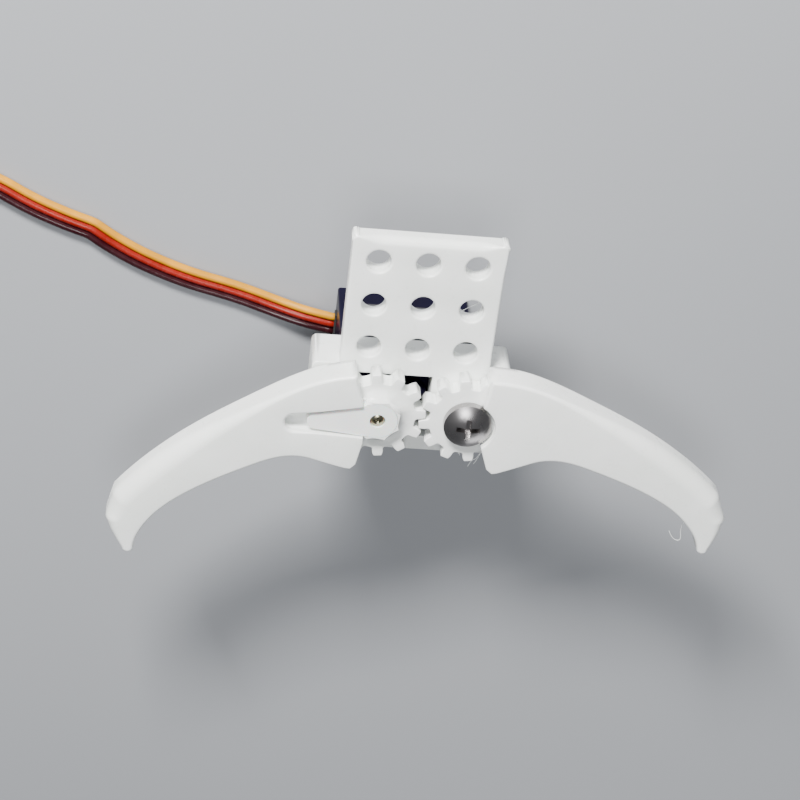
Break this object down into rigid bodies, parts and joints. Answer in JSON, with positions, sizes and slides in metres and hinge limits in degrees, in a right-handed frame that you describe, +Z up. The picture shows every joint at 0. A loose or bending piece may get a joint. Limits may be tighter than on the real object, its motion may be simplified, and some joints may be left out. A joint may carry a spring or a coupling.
{
  "type": "servo gripper",
  "caption": "Two curved claws geared together and turned by a micro servo, on a printed bracket with a grid of mounting holes and a three-wire lead.",
  "frame": {"origin": "centre hole of the 3 x 3 grid, on the mounting plate's top face", "axes": "+Z up along the servo's shaft and the holes, +Y to the plate's rear edge, so that the claws reach out to -Y; +X to the following claw"},
  "size_m": [0.1839, 0.0616, 0.0335],
  "materials": {
    "printed_white": "satin, slightly translucent 3-D print",
    "servo_blue": "dark translucent blue moulding",
    "steel": "plated",
    "motor_steel": "drawn can",
    "idler_steel": "nickel-plated, slightly worn",
    "horn_screw_steel": "zinc plated",
    "brass": "turned",
    "gear_nylon": "moulded",
    "horn_nylon": "moulded nylon",
    "black_plastic": "moulded",
    "board_green": "solder mask",
    "black_rubber": "matt",
    "wire_orange": "soft PVC",
    "wire_red": "soft PVC",
    "wire_brown": "soft PVC",
    "tie_black": "strap",
    "label_grey": "satin film",
    "magnet_grey": "sintered ferrite",
    "contact_tin": "tin plated"
  },
  "bodies": {
    "base": {"base_bracket": "printed_white", "servo_bottom_cover": "servo_blue", "servo_middle_case": "servo_blue", "servo_top_case": "servo_blue", "servo_case_screws": "steel", "servo_mounting_screws": "steel", "side_label": "label_grey", "servo_motor": "motor_steel", "motor_end_cap": "black_plastic", "motor_magnets": "magnet_grey", "gear_axle": "steel", "output_pin": "steel", "output_bush": "brass", "potentiometer": "black_plastic", "control_board": "board_green", "board_chips": "black_plastic", "idler_screw": "idler_steel", "cable_grommet": "black_rubber", "signal_wire": "wire_orange", "power_wire": "wire_red", "ground_wire": "wire_brown", "lead_coil": "wire_red", "coil_tie": "tie_black", "connector_housing": "black_plastic", "connector_contacts": "contact_tin"},
    "left_claw": {"left_claw": "printed_white", "servo_horn": "horn_nylon", "horn_screw": "horn_screw_steel", "output_gear": "gear_nylon"},
    "right_claw": {"right_claw": "printed_white"},
    "third_gear": {"third_gear": "gear_nylon"},
    "second_gear": {"second_gear": "gear_nylon"},
    "first_gear": {"first_gear": "gear_nylon"},
    "motor_rotor": {"motor_rotor": "steel", "motor_pinion": "brass"}
  },
  "joints": [
    {"name": "left_claw_turn", "type": "hinge", "parent": "base", "child": "left_claw", "pos_m": [-0.0056, -0.0191, 0], "axis": [0, 0, 1], "range_deg": [-30, 65.5]},
    {"name": "right_claw_turn", "type": "hinge", "parent": "base", "child": "right_claw", "pos_m": [0.0094, -0.0191, 0], "axis": [0, 0, 1], "range_deg": [-65.5, 30]},
    {"name": "third_gear_turn", "type": "hinge", "parent": "base", "child": "third_gear", "pos_m": [0.0001, -0.0191, 0], "axis": [0, 0, 1], "range_deg": [-183.4, 84]},
    {"name": "second_gear_turn", "type": "hinge", "parent": "base", "child": "second_gear", "pos_m": [-0.0056, -0.0191, 0], "axis": [0, 0, 1], "range_deg": [-315, 687.75]},
    {"name": "first_gear_turn", "type": "hinge", "parent": "base", "child": "first_gear", "pos_m": [0.0001, -0.0191, 0], "axis": [0, 0, 1], "range_deg": [-2579.06, 1181.25]},
    {"name": "motor_turn", "type": "hinge", "parent": "base", "child": "motor_rotor", "pos_m": [0.0049, -0.0191, 0], "axis": [0, 0, 1], "range_deg": [-3543.75, 7737.19]}
  ],
  "couplings": [
    {"joint": "right_claw_turn", "follows": "left_claw_turn", "ratio": -1},
    {"joint": "third_gear_turn", "follows": "left_claw_turn", "ratio": -2.8},
    {"joint": "second_gear_turn", "follows": "left_claw_turn", "ratio": 10.5},
    {"joint": "first_gear_turn", "follows": "left_claw_turn", "ratio": -39.375},
    {"joint": "motor_turn", "follows": "left_claw_turn", "ratio": 118.12}
  ]
}
